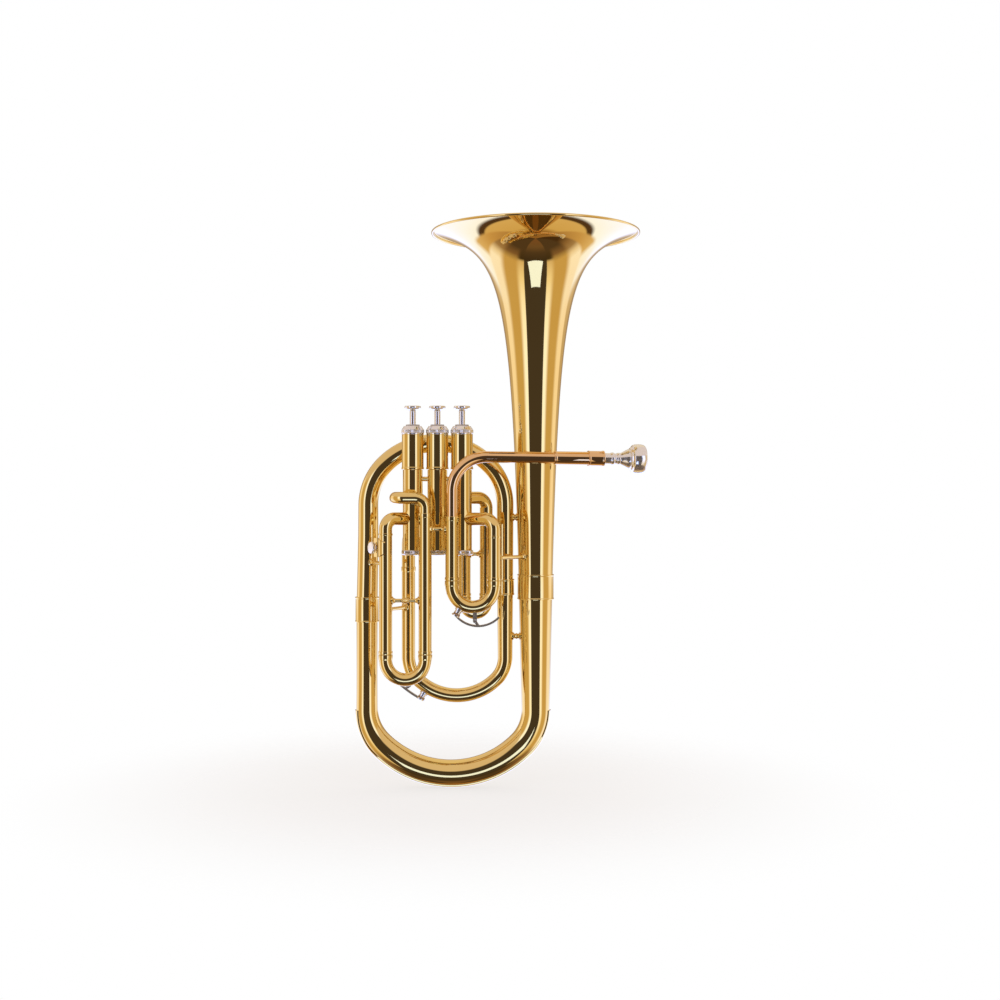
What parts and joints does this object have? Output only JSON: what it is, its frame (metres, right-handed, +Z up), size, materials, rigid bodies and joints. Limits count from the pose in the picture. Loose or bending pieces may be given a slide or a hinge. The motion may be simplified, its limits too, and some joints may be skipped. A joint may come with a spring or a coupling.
{
  "type": "tenor horn",
  "caption": "Upright valved brass horn: conical tube in nested bows, flared bell facing up, top-action piston valves, pull-out slides, side leadpipe with cup mouthpiece.",
  "frame": {"origin": "lowest point of the bottom bow's guard, midway between the bow's two legs, on the plane of the bell's axis", "axes": "+Z up along the bell; +X from the valves to the mouthpiece; -Y is the valve side, where the slides and valves stand"},
  "size_m": [0.2828, 0.2028, 0.5404],
  "materials": {
    "lacquered_brass": "clear gold lacquer, mirror polished",
    "gold_brass": "clear lacquer over redder gold brass",
    "silver_plate": "bright silver plate",
    "nickel_silver": "honed",
    "spring_steel": "drawn wire",
    "felt": "pressed wool felt",
    "cork": "cut cork",
    "guide_plastic": "moulded"
  },
  "bodies": {
    "horn": {"bell": "lacquered_brass", "bell_rim_wire": "lacquered_brass", "bell_ferrule": "lacquered_brass", "bottom_bow": "lacquered_brass", "bow_guard": "lacquered_brass", "leg_ferrules": "lacquered_brass", "top_bow": "lacquered_brass", "medium_bow": "lacquered_brass", "knuckles": "lacquered_brass", "casing_stays": "lacquered_brass", "tube_stays": "lacquered_brass", "main_slide_tubes": "lacquered_brass", "first_slide_tubes": "lacquered_brass", "second_slide_tubes": "lacquered_brass", "third_slide_tubes": "lacquered_brass", "lyre_socket": "lacquered_brass", "valve_casing_1": "lacquered_brass", "valve_casing_2": "lacquered_brass", "valve_casing_3": "lacquered_brass", "leadpipe": "gold_brass", "mouthpiece_receiver": "gold_brass", "bow_key_fittings": "silver_plate", "bow_key_pin": "silver_plate", "top_cap_1": "silver_plate", "bottom_cap_1": "silver_plate", "top_cap_2": "silver_plate", "bottom_cap_2": "silver_plate", "top_cap_3": "silver_plate", "bottom_cap_3": "silver_plate", "bow_key_spring": "spring_steel", "valve_spring_1": "spring_steel", "valve_spring_2": "spring_steel", "valve_spring_3": "spring_steel", "button_felts": "felt", "valve_guides": "guide_plastic"},
    "valve_1": {"piston_1": "nickel_silver", "valve_stem_1": "silver_plate", "finger_button_1": "silver_plate", "piston_felt_1": "felt"},
    "valve_2": {"piston_2": "nickel_silver", "valve_stem_2": "silver_plate", "finger_button_2": "silver_plate", "piston_felt_2": "felt"},
    "valve_3": {"piston_3": "nickel_silver", "valve_stem_3": "silver_plate", "finger_button_3": "silver_plate", "piston_felt_3": "felt"},
    "main_slide": {"main_slide_crook": "lacquered_brass", "main_key_fittings": "silver_plate", "main_key_pin": "silver_plate", "main_key_spring": "spring_steel"},
    "main_key": {"main_key_lever": "silver_plate", "main_key_cork": "cork"},
    "first_slide": {"first_slide_crook": "lacquered_brass"},
    "second_slide": {"second_slide_crook": "lacquered_brass"},
    "third_slide": {"third_slide_crook": "lacquered_brass"},
    "mouthpiece_body": {"mouthpiece": "silver_plate"},
    "bow_key": {"bow_key_lever": "silver_plate", "bow_key_cork": "cork"},
    "lyre_thumb_screw": {"lyre_screw": "silver_plate"}
  },
  "joints": [
    {"name": "valve_1_press", "type": "slide", "parent": "horn", "child": "valve_1", "axis": [0, 0, -1], "range_m": [0, 0.013], "stiffness_N_per_m": 180, "springref_m": -0.012, "deforming": ["valve_spring_1"]},
    {"name": "valve_2_press", "type": "slide", "parent": "horn", "child": "valve_2", "axis": [0, 0, -1], "range_m": [0, 0.013], "stiffness_N_per_m": 180, "springref_m": -0.012, "deforming": ["valve_spring_2"]},
    {"name": "valve_3_press", "type": "slide", "parent": "horn", "child": "valve_3", "axis": [0, 0, -1], "range_m": [0, 0.013], "stiffness_N_per_m": 180, "springref_m": -0.012, "deforming": ["valve_spring_3"]},
    {"name": "main_slide_pull", "type": "slide", "parent": "horn", "child": "main_slide", "axis": [0, 0, -1], "range_m": [0, 0.025]},
    {"name": "main_key_press", "type": "hinge", "parent": "main_slide", "child": "main_key", "pos_m": [0.0237, -0.0415, 0.1652], "axis": [0, -1, 0], "range_deg": [0, 12], "stiffness_Nm_per_rad": 0.06, "springref_deg": -20.05},
    {"name": "first_slide_pull", "type": "slide", "parent": "horn", "child": "first_slide", "axis": [0, 0, -1], "range_m": [0, 0.03]},
    {"name": "second_slide_pull", "type": "slide", "parent": "horn", "child": "second_slide", "axis": [0, 1, 0], "range_m": [0, 0.009]},
    {"name": "third_slide_pull", "type": "slide", "parent": "horn", "child": "third_slide", "axis": [0, 0, -1], "range_m": [0, 0.045]},
    {"name": "mouthpiece_pull", "type": "slide", "parent": "horn", "child": "mouthpiece_body", "axis": [0.9852, 0.1711, -0.0087], "range_m": [0, 0.035]},
    {"name": "bow_key_press", "type": "hinge", "parent": "horn", "child": "bow_key", "pos_m": [-0.04206, 0, 0.09834], "axis": [0, 1, 0], "range_deg": [0, 12], "stiffness_Nm_per_rad": 0.06, "springref_deg": -20.05},
    {"name": "lyre_screw_turn", "type": "hinge", "parent": "horn", "child": "lyre_thumb_screw", "pos_m": [-0.07081, -0.02555, 0.2338], "axis": [-0.8192, -0.5736, 0], "continuous": true}
  ]
}
